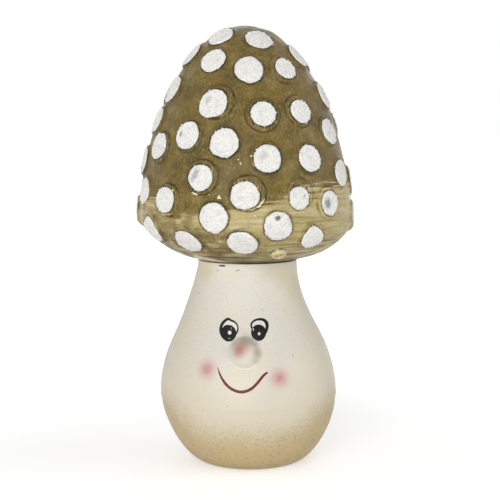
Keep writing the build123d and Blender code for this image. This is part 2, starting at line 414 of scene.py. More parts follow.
# %% Turn the felt ring
ring_low, ring_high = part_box("seat_ring")
RING_INNER = 17.8 * MM
ring_radius = ring_high.x
ring_soft = 0.25 * MM
ring_mesh = turn([
    (RING_INNER, ring_low.z),
    (ring_radius - ring_soft, ring_low.z),
    (ring_radius, ring_low.z + ring_soft),
    (ring_radius, ring_high.z - ring_soft),
    (ring_radius - ring_soft, ring_high.z),
    (RING_INNER, ring_high.z),
    (RING_INNER, ring_low.z),
], steps=180)
FUZZ = 0.12 * MM
FUZZ_SIZE = 0.9 * MM


def shape_ring(point):
    """Frays the edge of the felt a little."""
    away = Vector((point.x, point.y, 0)).normalized()
    return point + away * FUZZ * noise.noise(point / FUZZ_SIZE)


ring_piece = as_piece("felt_ring", ring_mesh, "seat_ring", ["seat_ring"], shape_ring)

# %% [markdown]
# ## The cap casting
# The cap is a tall dome with a full rim that turns in to a level land on the felt. A lip inside drops
# over the spigot. The casting is a little askew: it tilts by about a degree, its rim sags on the
# right, its crown is full and one shoulder is flatter. A Lattice could bend it, but a function can
# also be given to all that is stuck on, so that every button stays on the skin.

# %% Shaping of the cap
CAP_TILT = math.radians(1.2)
FLAT_PLACE = Vector((27 * MM, -8 * MM, 205 * MM))
FLAT_SIZE = 20 * MM
FLAT_DEPTH = 1.0 * MM
LUMP_DEPTH = 0.45 * MM
LUMP_SIZE = 21 * MM
CAP_SHIFT = -1.2 * MM
CAP_LEAN = 0.012
LEAN_START = 30 * MM
RIM_SAG = 0.8 * MM
RIM_FULL = 8 * MM
RIM_TOP = 30 * MM
SAG_START = 24 * MM
SAG_FULL = 40 * MM
CROWN_LIFT = 1.2 * MM
CROWN_DEPTH = 44 * MM
CROWN_REACH = 14 * MM
CROWN_TIP = 3 * MM
SEAT_HEIGHT = 2 * MM
LOOSE_HEIGHT = 24 * MM
DOME_MIDDLE = Vector((0, 0, LAND_HEIGHT + 40 * MM))


def shape_cap(point):
    """Tilts a point of the cap, leans and fills out its crown and presses in its flat shoulder."""
    loose = ease(point.z, LAND_HEIGHT + SEAT_HEIGHT, LAND_HEIGHT + LOOSE_HEIGHT)
    up = point.z - LAND_HEIGHT
    tilted = Vector((
        point.x * math.cos(CAP_TILT) + CAP_SHIFT + CAP_LEAN * max(up - LEAN_START, 0),
        point.y,
        LAND_HEIGHT + up * math.cos(CAP_TILT) - point.x * math.sin(CAP_TILT),
    ))
    moved = point.lerp(tilted, loose)
    moved.z -= RIM_SAG * ease(point.x, SAG_START, SAG_FULL) * (1 - ease(up, RIM_FULL, RIM_TOP))
    lift = CROWN_LIFT * ease(point.z, CROWN_HEIGHT - CROWN_DEPTH, CROWN_HEIGHT - CROWN_REACH)
    moved.z += lift * ease(math.hypot(point.x, point.y), CROWN_TIP, CROWN_REACH)
    away = (point - DOME_MIDDLE).normalized()
    near = math.exp(-((point - FLAT_PLACE).length / FLAT_SIZE) ** 2)
    lump = LUMP_DEPTH * noise.noise(point / LUMP_SIZE)
    return moved + away * (lump - FLAT_DEPTH * near) * loose


# %% Turn the cap
CAP_WALL = 5 * MM
LIP_TOP = LAND_HEIGHT + 12 * MM
LIP_RADIUS = 22 * MM
SOCKET_RADIUS = 18 * MM
crown = [(0, CROWN_HEIGHT)]
skin = list(reversed(cap_outline))
lip = [
    (SOCKET_RADIUS, LAND_HEIGHT),
    (SOCKET_RADIUS, LIP_TOP),
    (LIP_RADIUS, LIP_TOP),
    (LIP_RADIUS, LAND_HEIGHT + CAP_WALL),
]
inside = inner_wall(cap_outline, CAP_WALL, LAND_HEIGHT + 1.6 * CAP_WALL, CROWN_HEIGHT - 2.5 * CAP_WALL)
ceiling = list(reversed(inside))[::INSIDE_STEP] + [(0, CROWN_HEIGHT - CAP_WALL)]
cap_mesh = turn(crown + skin + lip + ceiling, steps=256)
cap_mesh.normal_update()
cap_tree = BVHTree.FromBMesh(cap_mesh)
print("cap skin has", len(cap_mesh.verts), "points")

# %% [markdown]
# ## Finding the spots
# The CAD holds every spot: seven rows of buttons, each with a pad. Their places could be listed again
# here, but read from the frame they stay true to it. In a copy of a row, the points that hang together
# are one pad, and its middle, dropped on the cap, is where that spot stands. No two came out alike:
# tables hold those on the front, by row and degrees round, and luck varies the rest.

# %% How the spots came out
ROWS = range(1, 8)
BUTTON_HEIGHT = 1.2 * MM

# Buttons that show beside their pads: (right, up, extra radius) in millimetres
BUTTON_SLIPS = {
    (2, -32): (0.2, 0.1, -0.1), (2, 2): (0.1, -0.3, 0.0), (2, 36): (-1.0, -0.3, 0.2),
    (3, -22): (1.5, 0.9, 1.0), (3, 11): (-0.3, -0.5, 0.7), (3, 38): (-0.9, 0.3, 0.4),
    (4, -36): (0.4, -0.4, 0.2), (4, -12): (0.0, 0.2, -0.2), (4, 12): (-0.3, 0.3, 0.3),
    (4, 38): (-0.4, 0.0, 0.1),
    (5, -59): (0.9, -0.5, 0.5), (5, -24): (0.3, 0.4, 0.7), (5, 0): (1.4, 1.0, 0.9),
    (5, 29): (0.9, 1.9, -0.4),
    (6, -46): (1.3, -0.1, 0.6), (6, -16): (0.1, 0.1, -0.1), (6, 17): (0.2, 0.3, 0.0),
    (6, 50): (-0.9, 0.2, 0.2), (7, -2): (0.3, 0.1, 0.0),
}
LOOSE_SLIP = 0.35

# Pads that came out small or large: radius in millimetres
PAD_RADII = {
    (2, 2): 7.3, (2, 36): 6.0, (3, -22): 7.5, (3, 11): 6.5, (3, 38): 6.3, (4, -12): 7.3, (4, 12): 7.1,
    (5, -24): 6.6, (5, 29): 5.8, (6, -16): 7.4, (6, 17): 7.3, (6, 50): 6.4, (7, -2): 7.5,
}
COMMON_RADII = (6.7, 7.2)

# Stained pads: the smear's middle (right, up), half length and half width in millimetres, its turn in
# degrees and how grey it is
PAD_STAINS = {
    (3, -22): (-2.6, 1.4, 2.4, 1.5, 60, 0.45),
    (4, -36): (-3.6, 0.4, 1.6, 0.9, 80, 0.9),
    (4, 12): (-2.0, 0.8, 3.0, 2.0, 70, 0.4),
    (5, -24): (-2.8, 1.2, 4.2, 1.7, 65, 0.7),
    (5, 29): (2.6, 0.7, 0.9, 0.4, 70, 1.0),
    (6, 17): (-0.4, 3.8, 1.5, 1.1, 35, 2.0),
    (6, 50): (-2.4, -0.2, 3.0, 2.6, 70, 0.95),
}

# %% Read the spots from the frame
Spot = namedtuple("Spot", "place normal pad_radius phase slip stain")
spot_luck = random.Random(11)


def place_of(middle, normal):
    """A frame on the cap: x to the right, y up and z outwards as seen by someone facing the spot."""
    right = Vector((0, 0, 1)).cross(normal).normalized()
    up = normal.cross(right)
    turned = Matrix((right, up, normal)).transposed().to_4x4()
    return Matrix.Translation(middle) @ turned


def degrees_round(point):
    """Degrees round the cap from the face, positive towards +X."""
    return round(math.degrees(math.atan2(point.x, -point.y)))


def island_from(first, seen):
    """The points that hang together with a first one, noted as seen."""
    island = [first]
    seen.add(first)
    for vert in island:
        for edge in vert.link_edges:
            other = edge.other_vert(vert)
            if other not in seen:
                seen.add(other)
                island.append(other)
    return island


def middle_of(island):
    """The middle of an island's faces, each weighed by its area."""
    faces = {face for vert in island for face in vert.link_faces}
    area = sum(face.calc_area() for face in faces)
    return sum((face.calc_center_median() * face.calc_area() for face in faces), Vector()) / area


def read_spots(row):
    """Every spot of a row: where it stands and how it came out."""
    copy = bmesh.new()
    copy.from_mesh(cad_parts[f"spot_glitter_row_{row}"].data)
    bmesh.ops.remove_doubles(copy, verts=copy.verts, dist=0.001 * MM)
    found = []
    seen = set()
    for first in copy.verts:
        if first in seen:
            continue
        middle = middle_of(island_from(first, seen))
        key = (row, degrees_round(middle))
        skin, normal = cap_tree.find_nearest(middle)[:2]
        radius = PAD_RADII.get(key, spot_luck.uniform(*COMMON_RADII)) * MM
        loose = [spot_luck.uniform(-LOOSE_SLIP, LOOSE_SLIP) for axis in range(3)]
        slip = BUTTON_SLIPS.get(key, loose)
        phase = spot_luck.uniform(0, 50)
        place = place_of(skin + normal * BUTTON_HEIGHT, normal)
        found.append(Spot(place, normal, radius, phase, slip, PAD_STAINS.get(key)))
    copy.free()
    return found


spots = {row: read_spots(row) for row in ROWS}
print("spots found:", {row: len(found) for row, found in spots.items()})

# %% [markdown]
# ## Distances round a spot
# The glaze draws two dark lines at each spot, of dark wash and painted shade: round the pad and at the
# button's foot. Colours kept at the points would be as coarse as the mesh. A distance changes evenly
# across a face, so lines drawn from distances stay thin on any mesh. The points of the buttons and of
# the cap carry both distances as attributes, and the finish draws.

# %% Distances to the pad and to the foot
FOOT_RADIUS = 8.1 * MM
FAR = 20 * MM
FLATS = 0.07
FLATS_ROUND = 1.3
TEETH = 0.016
TEETH_ROUND = 8


def pad_reach(spot, angle):
    """How far a pad reaches at an angle: nearly round, with a few flats and small teeth."""
    around = Vector((math.cos(angle), math.sin(angle), 0))
    wide = noise.noise(around * FLATS_ROUND + Vector((0, 0, spot.phase)))
    fine = noise.noise(around * TEETH_ROUND + Vector((0, 0, spot.phase)))
    return spot.pad_radius * (1 + FLATS * wide + TEETH * fine)


def beyond_pad(spot, flat):
    """How far a point in a spot's plane lies outside its pad."""
    return flat.length - pad_reach(spot, math.atan2(flat.y, flat.x))


def beyond_foot(spot, flat):
    """How far a point in a spot's plane lies outside the foot of its button."""
    right, up, extra = spot.slip
    return (flat - Vector((right, up, 0)) * MM).length - FOOT_RADIUS - extra * MM


def float_layers(mesh, *names):
    """New layers for a value at each point of a bmesh."""
    return [mesh.verts.layers.float.new(name) for name in names]


# How dark a foot's line is at least and by itself, and what a millimetre of radius or of slip adds
CREASE_LEAST = 0.15
CREASE = 0.30
CREASE_BY_RADIUS = 0.55
CREASE_BY_SLIP = 0.25


def crease_of(spot):
    """How dark the line at the foot is: a button that shows beside its pad has the deepest crease."""
    right, up, extra = spot.slip
    return min(max(CREASE + CREASE_BY_RADIUS * extra + CREASE_BY_SLIP * abs(right), CREASE_LEAST), 1)


# %% [markdown]
# ## Clay buttons
# A button is a disc of clay pressed on with slip: its sides are soft and its foot spreads into a
# skirt. A bevelled cylinder would stand off the round cap at its edge. So one section is spun into a
# template, with heights from 0 on the cap to 1 at the top, and rays drop each point on two skins: the
# cap's own and a copy raised by a button's height. That gives the clay the cap's curve.

# %% Button template
BUTTON_RADIUS = 7.5 * MM
BUTTON_SECTION = [
    (0.0, -0.6), (9.9, -0.6), (9.8, -0.2), (9.2, 0.0), (8.8, 0.05), (8.45, 0.14), (8.2, 0.29), (8.0, 0.47),
    (7.8, 0.66), (7.6, 0.82), (7.35, 0.94), (7.0, 1.0), (6.4, 1.0), (4.8, 1.0), (2.4, 1.0), (0.0, 1.0),
]
template_mesh = turn([(radius * MM, share) for radius, share in BUTTON_SECTION], steps=60)
button_template = bpy.data.meshes.new("button_template")
template_mesh.to_mesh(button_template)
template_mesh.free()
print("a button has", len(button_template.vertices), "points")

# %% Stick on the buttons
EDGE_WAVER = 0.25 * MM
RAY_RISE = 3 * MM
raised_mesh = cap_mesh.copy()
for vert in raised_mesh.verts:
    vert.co += vert.normal * BUTTON_HEIGHT
top_tree = BVHTree.FromBMesh(raised_mesh)
raised_mesh.free()


def on_cap(spot, flat):
    """Where a point of a spot's plane lands: on the cap's skin and on the buttons' tops above it."""
    start = spot.place @ flat + spot.normal * RAY_RISE
    skin = cap_tree.ray_cast(start, -spot.normal)[0]
    top = top_tree.ray_cast(start, -spot.normal)[0]
    return skin, top


def add_button(row_mesh, spot):
    """Adds one button to its row, pressed on beside or under its pad."""
    right, up, extra = spot.slip
    button = bmesh.new()
    button.from_mesh(button_template)
    from_pad, from_foot, crease = float_layers(button, "from_pad", "from_foot", "crease")
    for vert in button.verts:
        share = vert.co.z
        flat = Vector((vert.co.x, vert.co.y, 0))
        around = flat.normalized()
        waver = EDGE_WAVER * noise.noise(around * FLATS_ROUND + Vector((0, 0, spot.phase)))
        flat += around * (waver + extra * MM) * min(flat.length / BUTTON_RADIUS, 1)
        flat += Vector((right, up, 0)) * MM
        skin, top = on_cap(spot, flat)
        vert.co = skin + (top - skin) * share
        vert[from_pad] = beyond_pad(spot, flat)
        vert[from_foot] = beyond_foot(spot, flat) - waver
        vert[crease] = crease_of(spot)
    gather(row_mesh, button)


def piece_by_row(add, name, node, smooth=True):
    """Makes a piece of each row, with something added at every spot."""
    pieces = []
    for row in ROWS:
        row_mesh = bmesh.new()
        for spot in spots[row]:
            add(row_mesh, spot)
        nodes = [f"{node}_row_{row}"]
        pieces.append(as_piece(f"{name}_row_{row}", row_mesh, "cap", nodes, shape_cap, smooth))
    return pieces


button_pieces = piece_by_row(add_button, "clay_buttons", "spot_buttons")

# %% [markdown]
# ## Pads of white glitter
# Each top was brushed with glue and dipped in coarse white glitter. Bump alone would leave a clean
# edge and no glint. A fine grid gives the rough pad: points outside the pad's outline are deleted, the
# new rim is pulled out to the outline and each other point gets its own height. Loose turned cubes lie
# on top, and flat shading lets each facet glint.

# %% Grains and stains
GRAIN = 0.36 * MM
PAD_HALF = 9 * MM
GRID_CELLS = round(2 * PAD_HALF / GRAIN)
PAD_LIFT = 0.30 * MM
GRAIN_HEIGHT = 0.30 * MM
RIM_SINK = 0.35 * MM
RIM_SLOPE = 0.9 * MM
RIM_RISE = 0.4
RIM_GAP = 0.4 * GRAIN
GRID_JITTER = 0.3
GRAINS_ON_PAD = 50
GRAINS_WITHIN = 0.97
GRAIN_SIZES = (0.3, 0.55)
# Powers of luck: few grains stand tall, and more of the loose ones lie outside
FEW_TALL = 1.5
MORE_OUTSIDE = 0.4
SHADES = 0.35
STAIN_RAGGED = 0.5
STAIN_GRAIN = 0.8 * MM
STAIN_EDGE = (0.4, 1.2)
glitter_luck = random.Random(23)


def add_grain(pad, where, size):
    """Adds one loose grain, a small cube turned at random."""
    turned = Matrix.Rotation(glitter_luck.uniform(0, math.tau), 4, Vector((1, 0.6, 0.3)))
    turned = Matrix.Rotation(glitter_luck.uniform(0, math.tau), 4, "Z") @ turned
    bmesh.ops.create_cube(pad, size=size, matrix=Matrix.Translation(where) @ turned)


def stain_at(spot, point):
    """How grey a point of a pad is: a smear with a ragged edge."""
    if not spot.stain:
        return 0.0
    right, up, half_length, half_width, turned, strength = spot.stain
    off = Matrix.Rotation(math.radians(-turned), 3, "Z") @ (point - Vector((right, up, 0)) * MM)
    away = math.hypot(off.x / half_length, off.y / half_width) / MM
    ragged = away + STAIN_RAGGED * noise.noise(point / STAIN_GRAIN + Vector((0, 0, spot.phase)))
    return strength * (1 - ease(ragged, *STAIN_EDGE))


# %% Scatter the glitter
def add_pad(row_mesh, spot):
    """Adds one pad of grains to its row, with its grey stain if it has one."""
    pad = bmesh.new()
    bmesh.ops.create_grid(pad, x_segments=GRID_CELLS, y_segments=GRID_CELLS, size=PAD_HALF)
    for vert in pad.verts:
        jitter = Vector((glitter_luck.uniform(-1, 1), glitter_luck.uniform(-1, 1), 0))
        vert.co += jitter * GRID_JITTER * GRAIN
    outside = [vert for vert in pad.verts if beyond_pad(spot, vert.co) > -RIM_GAP]
    bmesh.ops.delete(pad, geom=outside, context="VERTS")
    stray = [vert for vert in pad.verts if not vert.link_faces]
    bmesh.ops.delete(pad, geom=stray, context="VERTS")
    rim = [edge for edge in pad.edges if edge.is_boundary]
    rim_points = {vert for edge in rim for vert in edge.verts}
    for vert in pad.verts:
        inward = ease(-beyond_pad(spot, vert.co), 0, RIM_SLOPE)
        if vert in rim_points:
            vert.co *= 1 - beyond_pad(spot, vert.co) / vert.co.length
            vert.co.z = -RIM_SINK
        else:
            vert.co.z = PAD_LIFT * (RIM_RISE + (1 - RIM_RISE) * inward)
            vert.co.z += GRAIN_HEIGHT * glitter_luck.random() ** FEW_TALL
    bmesh.ops.holes_fill(pad, edges=rim, sides=0)
    for grain in range(GRAINS_ON_PAD):
        angle = glitter_luck.uniform(0, math.tau)
        reach = pad_reach(spot, angle) * GRAINS_WITHIN * glitter_luck.random() ** MORE_OUTSIDE
        where = Vector((math.cos(angle) * reach, math.sin(angle) * reach, PAD_LIFT))
        add_grain(pad, where, glitter_luck.uniform(*GRAIN_SIZES) * MM)
    shade = pad.verts.layers.float.new("shade")
    for vert in pad.verts:
        vert[shade] = SHADES * glitter_luck.random() + stain_at(spot, vert.co)
        flat = Vector((vert.co.x, vert.co.y, 0))
        skin, top = on_cap(spot, flat)
        vert.co = top + (top - skin).normalized() * vert.co.z
    bmesh.ops.recalc_face_normals(pad, faces=pad.faces)
    gather(row_mesh, pad)


pad_pieces = piece_by_row(add_pad, "glitter_pads", "spot_glitter", smooth=False)

# %% [markdown]
# ## The bare button
# One small button under the rim never got its glitter. Its top has sunk into a dimple round a pip.
# Faces could be inset and pushed in for that, but a short section, spun, gives the dimple and the pip
# at once. It is dropped on the cap like the others.

# %% Pinch on the bare button
BARE_SECTION = [
    (0.0, -0.4), (5.6, -0.4), (5.5, -0.1), (4.9, 0.0), (4.4, 0.06), (4.0, 0.28), (3.6, 0.66), (3.1, 0.94),
    (2.7, 1.0), (2.3, 0.88), (1.9, 0.58), (1.5, 0.40), (1.1, 0.50), (0.6, 0.66), (0.0, 0.70),
]
BARE_HEIGHT = 2.3 * MM
BARE_FOOT = 4.3 * MM
BARE_RING = 1.55 * MM
BARE_DROP = 1.0 * MM
BARE_WIDE = 1.05
BARE_TALL = 0.95
BARE_WAVER = 0.3 * MM
BARE_CORE = 3 * MM
bare_low, bare_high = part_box("bare_button")
bare_middle = (bare_low + bare_high) / 2 - Vector((0, 0, BARE_DROP))
bare_skin, bare_normal = cap_tree.find_nearest(bare_middle)[:2]
bare_place = place_of(bare_skin + bare_normal * BARE_HEIGHT, bare_normal)
bare_mesh = turn([(radius * MM, share) for radius, share in BARE_SECTION], steps=40)
bare_from_ring, bare_from_foot = float_layers(bare_mesh, "from_ring", "from_foot")
for vert in bare_mesh.verts:
    share = vert.co.z
    radius = math.hypot(vert.co.x, vert.co.y)
    around = Vector((vert.co.x, vert.co.y, 0)).normalized()
    flat = Vector((vert.co.x * BARE_WIDE, vert.co.y * BARE_TALL, 0))
    flat += around * BARE_WAVER * noise.noise(around * 1.5) * min(radius / BARE_CORE, 1)
    top = bare_place @ flat
    skin = cap_tree.ray_cast(top + bare_normal * RAY_RISE, -bare_normal)[0]
    vert.co = skin + (top - skin) * share
    vert[bare_from_ring] = abs(radius - BARE_RING)
    vert[bare_from_foot] = radius - BARE_FOOT
bare_piece = as_piece("bare_knob", bare_mesh, "cap", ["bare_button"], shape_cap)

# %% [markdown]
# ## Drips and specks
# Small pale drops stand for glints: they are painted highlights, the light that the wet glaze
# reflects, laid on as pale gold pieces. Specks of the dark wash stayed where it pooled. Noise could
# scatter them, but it would not put them where they show or let them stand out. So each is a
# flattened ball, turned in its plane and dropped on the cap.

# %% Painted glints and drops of wash
# Each is (degrees round, height, half length, half width, turn in degrees), sizes in millimetres
PAINTED_GLINTS = [
    (8.4, 135.2, 2.6, 0.36, 52), (7.2, 133.7, 1.1, 0.45, 25), (-13.6, 137.6, 1.2, 0.45, 65),
    (-13.2, 137.3, 1.1, 0.5, -25), (-26.4, 138.7, 1.8, 0.45, -18), (-40.4, 139.6, 0.55, 0.5, 0),
    (-2.6, 153.6, 0.6, 0.35, -60), (-3.8, 155.3, 0.4, 0.35, 0), (3.2, 157.2, 0.5, 0.4, 20),
    (-19.0, 138.6, 0.9, 0.3, 25), (5.2, 129.2, 0.4, 0.4, 0), (11.2, 128.6, 0.4, 0.3, 0),
]
WASH_SPECKS = [
    (25.9, 143.6, 1.0, 0.7, 30), (29.6, 143.0, 0.9, 0.45, -20), (33.6, 142.2, 0.6, 0.4, -30),
    (5.4, 159.4, 1.0, 0.6, 35), (-33.4, 144.6, 0.6, 0.5, 0), (-42.4, 137.2, 1.1, 0.7, 70),
    (-21.8, 182.4, 0.8, 0.5, 60), (3.6, 176.6, 0.9, 0.5, 80),
]
DROP_STAND = 0.22
SKIRT_FOOT = -0.3 * MM
SKIRT_TOP = 0.7 * MM
every_spot = [spot for row in ROWS for spot in spots[row]]


def nearest_spot(point):
    """The spot that stands nearest to a point, and the point as seen in that spot's frame."""
    nearest = min(every_spot, key=lambda spot: (point - spot.place.translation).length)
    return nearest, nearest.place.inverted() @ point


def add_drop(drops, degrees, height, half_length, half_width, turned):
    """Adds one flattened drop on the cap's skin, or on the button that stands there."""
    heading = math.radians(degrees)
    away = Vector((math.sin(heading), -math.cos(heading), 0))
    start = away * RAY_START + Vector((0, 0, height * MM))
    skin, normal = cap_tree.ray_cast(start, -away)[:2]
    top = top_tree.ray_cast(start, -away)[0]
    spot, flat = nearest_spot(skin)
    flat.z = 0
    landed = skin.lerp(top, ease(-beyond_foot(spot, flat), SKIRT_FOOT, SKIRT_TOP))
    place = place_of(landed, normal) @ Matrix.Rotation(math.radians(turned), 4, "Z")
    drop = bmesh.new()
    bmesh.ops.create_uvsphere(drop, u_segments=20, v_segments=12, radius=1)
    bmesh.ops.scale(drop, verts=drop.verts, vec=Vector((half_length, half_width, DROP_STAND)) * MM)
    bmesh.ops.transform(drop, verts=drop.verts, matrix=place)
    gather(drops, drop)


# %% Put them on
def place_drops(name, places):
    """A piece of drops."""
    drops = bmesh.new()
    for place in places:
        add_drop(drops, *place)
    return as_piece(name, drops, "cap", (), shape_cap)


glint_piece = place_drops("painted_glint_drops", PAINTED_GLINTS)
speck_piece = place_drops("wash_specks", WASH_SPECKS)

# %% Finish the cap casting
BELOW_SKIN = -4 * MM
cap_from_pad, cap_from_foot, cap_crease = float_layers(cap_mesh, "from_pad", "from_foot", "crease")
for vert in cap_mesh.verts:
    spot, flat = nearest_spot(vert.co)
    on_skin = flat.z > BELOW_SKIN
    flat.z = 0
    vert[cap_from_pad] = beyond_pad(spot, flat) if on_skin else FAR
    vert[cap_from_foot] = beyond_foot(spot, flat) if on_skin else FAR
    vert[cap_crease] = crease_of(spot)
cap_piece = as_piece("cap_casting", cap_mesh, "cap", ["cap_shell"], shape_cap)

# %% [markdown]
# ## Building finishes from nodes
# Every finish is a Principled shader. Painted images would need a UV map on each piece. Noise on
# Object coordinates needs none, and the pattern sits still on the piece whatever its mesh is. Short
# helpers add to the finish that was started last: one feeds a node's inputs by name, one lays a tint
# over the colour so far, and the rest wrap single nodes.

# %% Start a finish and hand it out
WHITE = (1, 1, 1, 1)


def new_finish(name, roughness, specular=0.5):
    """Starts a material with its Principled shader. The helpers below add to it."""
    global finish, tree, shader
    finish = bpy.data.materials.new(name)
    finish.use_nodes = True
    tree = finish.node_tree
    shader = fill(tree.nodes["Principled BSDF"], Roughness=roughness, Specular_IOR_Level=specular)


def give_to(*pieces):
    """Gives the finish to pieces."""
    for piece in pieces:
        piece.data.materials.append(finish)
    print(finish.name, "has", len(tree.nodes), "nodes")


def feed(socket, value):
    """Links a socket to a value of another node, or sets it to a plain one."""
    if isinstance(value, bpy.types.NodeSocket):
        tree.links.new(value, socket)
    else:
        socket.default_value = value


def fill(node, **inputs):
    """Feeds a node's inputs by name, with _ for a space."""
    for name, value in inputs.items():
        feed(node.inputs[name.replace("_", " ")], value)
    return node


def add_node(kind, **inputs):
    """Adds a node to the finish and feeds its inputs."""
    return fill(tree.nodes.new("ShaderNode" + kind), **inputs)


# %% Places, noise and steps
def on_object():
    return add_node("TexCoord").outputs["Object"]


def axes():
    """The Object coordinates along x, y and z."""
    return add_node("SeparateXYZ", Vector=on_object()).outputs


def place_in(stretch=(1, 1, 1)):
    """Object coordinates, stretched along the axes."""
    return add_node("Mapping", Vector=on_object(), Scale=stretch).outputs["Vector"]


def cloud(size, detail=4.0, stretch=(1, 1, 1), roughness=0.55):
    """Noise with features of about a size in metres."""
    place = place_in(stretch)
    made = add_node("TexNoise", Vector=place, Scale=1 / size, Detail=detail, Roughness=roughness)
    return made.outputs["Fac"]


def step(value, low, high, to_low=0.0, to_high=1.0):
    """A soft step of a value between two limits."""
    made = add_node("MapRange", Value=value, From_Min=low, From_Max=high, To_Min=to_low, To_Max=to_high)
    made.interpolation_type = "SMOOTHSTEP"
    return made.outputs["Result"]


def near_point(point, core, reach):
    """1 within a core round a point, fading to 0 at a reach."""
    distance = add_node("VectorMath")
    distance.operation = "DISTANCE"
    feed(distance.inputs[0], on_object())
    feed(distance.inputs[1], point)
    return step(distance.outputs["Value"], core, reach, 1.0, 0.0)


def attribute_of(name):
    """The value that a piece's points carry under a name."""
    node = add_node("Attribute")
    node.attribute_name = name
    return node.outputs["Fac"]


# %% Sums, mixes and bump
def math_of(operation, first, second=0.0):
    """One step of arithmetic on two values."""
    node = add_node("Math")
    node.operation = operation
    feed(node.inputs[0], first)
    feed(node.inputs[1], second)
    return node.outputs["Value"]


def times(first, second):
    return math_of("MULTIPLY", first, second)


def plus(first, second):
    return math_of("ADD", first, second)


def minus(first, second):
    return math_of("SUBTRACT", first, second)


def mix(share, first, second):
    """Two colours mixed by a share from 0 to 1."""
    return add_node("MixRGB", Fac=share, Color1=first, Color2=second).outputs["Color"]


def lay(tint, share, strength=1.0):
    """Lays a tint over the shader's colour so far, by a share and by how dense it is."""
    base = shader.inputs["Base Color"]
    below = base.links[0].from_socket if base.is_linked else base.default_value
    feed(base, mix(times(share, strength), below, tint))


def raise_grain(value, depth):
    """Bump from a value, with its depth in metres."""
    bump = add_node("Bump", Height=value, Distance=depth, Strength=1.0)
    fill(shader, Normal=bump.outputs["Normal"])


# %% [markdown]
# ## Cream stem glaze
# A matt cream glaze over the casting. Tan was airbrushed round the foot, where it breaks up into
# specks and climbs at the sides. An image could carry all this, but noise needs no map and stays sharp:
# the spray's edge is a height made ragged by a coarse and a fine noise.

# %% Lay the cream
CREAM = (0.742, 0.708, 0.622, 1)
COOL_CREAM = (0.718, 0.688, 0.622, 1)
WARM_CREAM = (0.740, 0.665, 0.500, 1)
LOW_CREAM = (0.705, 0.632, 0.485, 1)
GRIT = (0.54, 0.47, 0.35, 1)

new_finish("stem_glaze_cream", 0.52)
at_x, at_y, at_z = axes()
sideways = math_of("ABSOLUTE", at_x)
fill(shader, Base_Color=mix(step(cloud(0.030, 3), 0.36, 0.66), CREAM, COOL_CREAM))
lay(WARM_CREAM, step(cloud(0.022, 3, (1, 1, 0.6)), 0.52, 0.72), 0.55)
# Painted shade: the cream turns warmer and a little darker towards the sides, as seen from the front
lay(WARM_CREAM, step(sideways, 0.012, 0.034), 0.55)
lay(GRIT, step(cloud(0.0010, 3), 0.50, 0.70), 0.30)
lay(LOW_CREAM, step(at_z, 0.066, 0.026), 0.85)

# %% Spray the foot and speckle the stem
TAN = (0.545, 0.415, 0.195, 1)
DEEP_TAN = (0.425, 0.300, 0.120, 1)
BROWN_SPECK = (0.23, 0.165, 0.065, 1)
SPECK = (0.16, 0.115, 0.055, 1)
DRIFT_REACH = 0.012
SPRAY_REACH = 0.018
SIDE_CLIMB = 0.012
SPECKS_PER_METRE = 150.0

spray = cloud(0.0011, 3)
drift = cloud(0.016, 3)
ragged = plus(at_z, times(drift, DRIFT_REACH))
ragged = plus(ragged, times(spray, SPRAY_REACH))
ragged = minus(ragged, step(sideways, 0.016, 0.044, 0.0, SIDE_CLIMB))
foot_tan = step(ragged, 0.046, 0.026)
lay(TAN, foot_tan, 0.86)
lay(DEEP_TAN, step(ragged, 0.025, 0.011), 0.45)
smears = step(cloud(0.0012, 4, (0.75, 0.75, 1.15)), 0.53, 0.67)
lay(BROWN_SPECK, times(smears, foot_tan), 0.42)
collar = times(step(at_z, 0.088, 0.099), step(drift, 0.45, 0.62))
lay(WARM_CREAM, collar, 0.5)
dots = add_node("TexVoronoi", Vector=place_in(), Scale=SPECKS_PER_METRE, Randomness=1.0)
dot = step(dots.outputs["Distance"], 0.06, 0.035)
chance = step(cloud(0.009, 2), 0.55, 0.60)
lay(SPECK, times(dot, chance), 0.6)

# %% [markdown]
# ## Blush and shadow
# Pink was puffed on both cheeks and on the nose, tan under the collar, warm cream round the mouth and
# a grey-brown airbrush over the top of the nose. The tan under the collar is partly painted shade of
# the cap, the grey-brown on the nose's right side is painted shade, and a pale patch under the nose is a
# painted highlight. Dabs of paint would have edges. So the puffs are distances to points on the skin,
# softened and broken by the spray's fine noise, as an airbrush leaves them.

# %% Puff on the cheeks and tints
PINK = (0.56, 0.225, 0.220, 1)
COLLAR_TINT_AND_SHADE = (0.60, 0.53, 0.345, 1)
# For each tint how sharp and how dense its puffs are, and then their (x, height, reach) in millimetres
PUFFS = [
    (PINK, 3.6, 1.0, [(-19.7, 53.3, 12.5), (15.7, 49.5, 12.5)]),
    (PINK, 3.6, 0.18, [(-10.5, 61.5, 9.0)]),
    (PINK, 3.6, 0.10, [(14.0, 60.0, 11.0)]),
    # Tan under the collar: partly airbrush, partly painted shade of the cap on the neck, most of all the
    # wide puff on the right
    (COLLAR_TINT_AND_SHADE, 1.0, 0.6, [(16.5, 97.5, 10), (10.5, 99.5, 8), (-20.5, 98.5, 9), (22.5, 91.0, 15)]),
    (WARM_CREAM, 1.0, 0.55, [(-5.5, 54.5, 7.0), (5.0, 54.0, 7.0), (-3.0, 41.5, 9.0), (-2.0, 48.5, 8.0)]),
]
puff = step(spray, 0.25, 0.75, 0.72, 1.0)
for tint, sharpness, strength, places in PUFFS:
    for x, height, reach in places:
        middle = lay_on_stem(Vector((x, height, 0)) * MM)
        soft = math_of("POWER", near_point(middle, 0, reach * MM), sharpness)
        lay(tint, times(soft, puff), strength)

# %% Shade the nose and finish the stem
NOSE_PINK = (0.46, 0.155, 0.150, 1)
NOSE_SHADOW = (0.33, 0.262, 0.215, 1)
NOSE_PAINTED_HIGHLIGHT = (0.86, 0.79, 0.76, 1)
